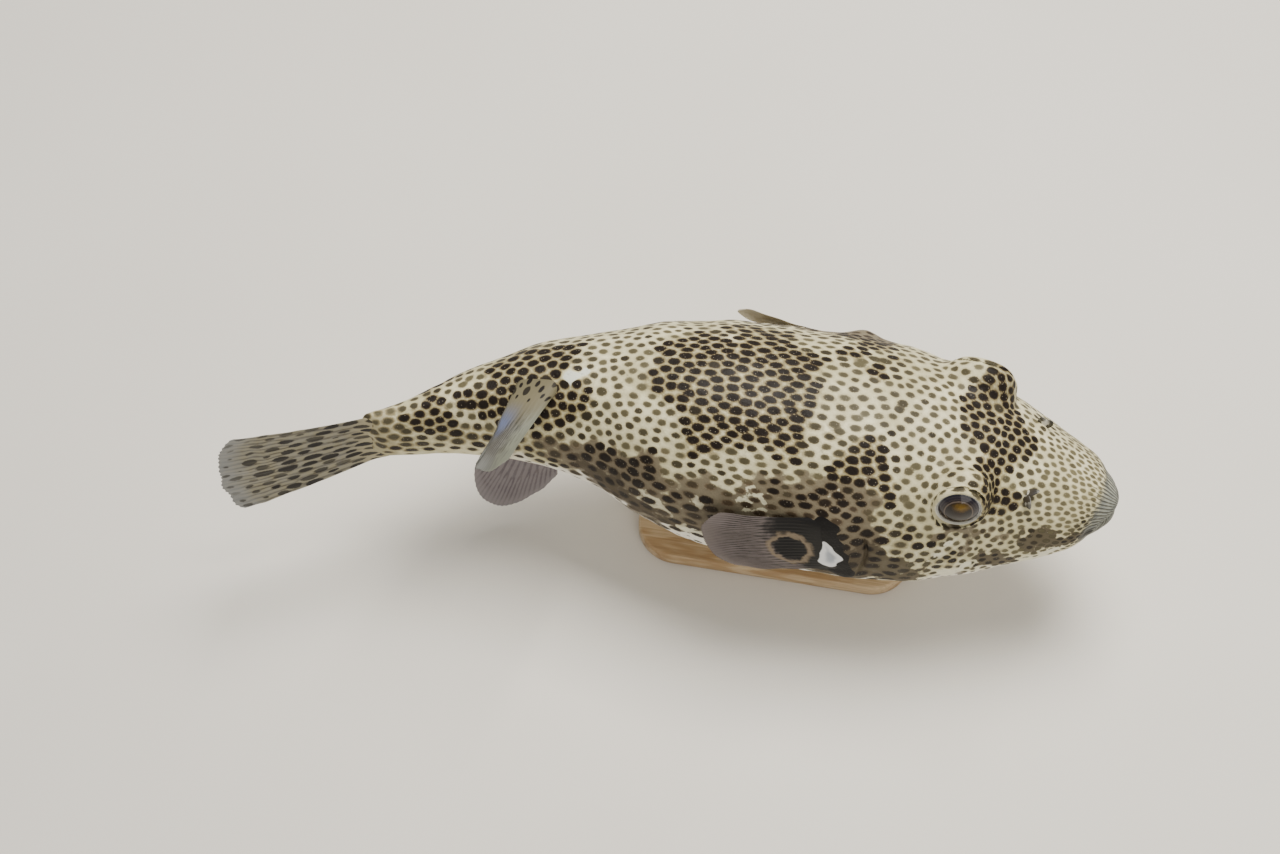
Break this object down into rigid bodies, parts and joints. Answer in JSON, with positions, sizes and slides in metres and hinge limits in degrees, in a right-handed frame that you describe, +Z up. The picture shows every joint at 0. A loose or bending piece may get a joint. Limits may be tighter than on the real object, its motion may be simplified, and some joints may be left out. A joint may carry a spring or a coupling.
{
  "type": "starry pufferfish model",
  "caption": "Life-size still model of a starry pufferfish swimming with its tail curved aside, covered in dark spots, held on rods over a flat wooden base.",
  "frame": {"origin": "centre of the underside of the stand's base, under the fish's centre of mass", "axes": "+X towards the fish's head along its trunk, +Y to the fish's left, +Z up"},
  "size_m": [0.5772, 0.1924, 0.1921],
  "materials": {
    "skin": "smooth matt fish skin, pale cream with a dense pattern of dark brown spots",
    "lips": "soft slate-grey lip skin",
    "beak": "polished ivory tooth plate",
    "eye": "wet clear dome over a dark brown iris with a golden glint",
    "fin": "thin grey-brown fin web with soft rays",
    "stand_wood": "pale oiled wood",
    "stand_steel": "brushed steel rod"
  },
  "bodies": {
    "root": {"head": "skin", "trunk": "skin", "tail_stem": "skin", "lips": "lips", "beak_upper": "beak", "beak_lower": "beak", "nasal_flap_left": "skin", "nasal_flap_right": "skin", "eye_left": "eye", "eye_right": "eye", "dorsal_fin": "fin", "anal_fin": "fin", "caudal_fin": "fin", "pectoral_fin_left": "fin", "pectoral_fin_right": "fin", "stand_base": "stand_wood", "stand_rod_front": "stand_steel", "stand_rod_rear": "stand_steel"}
  },
  "joints": []
}
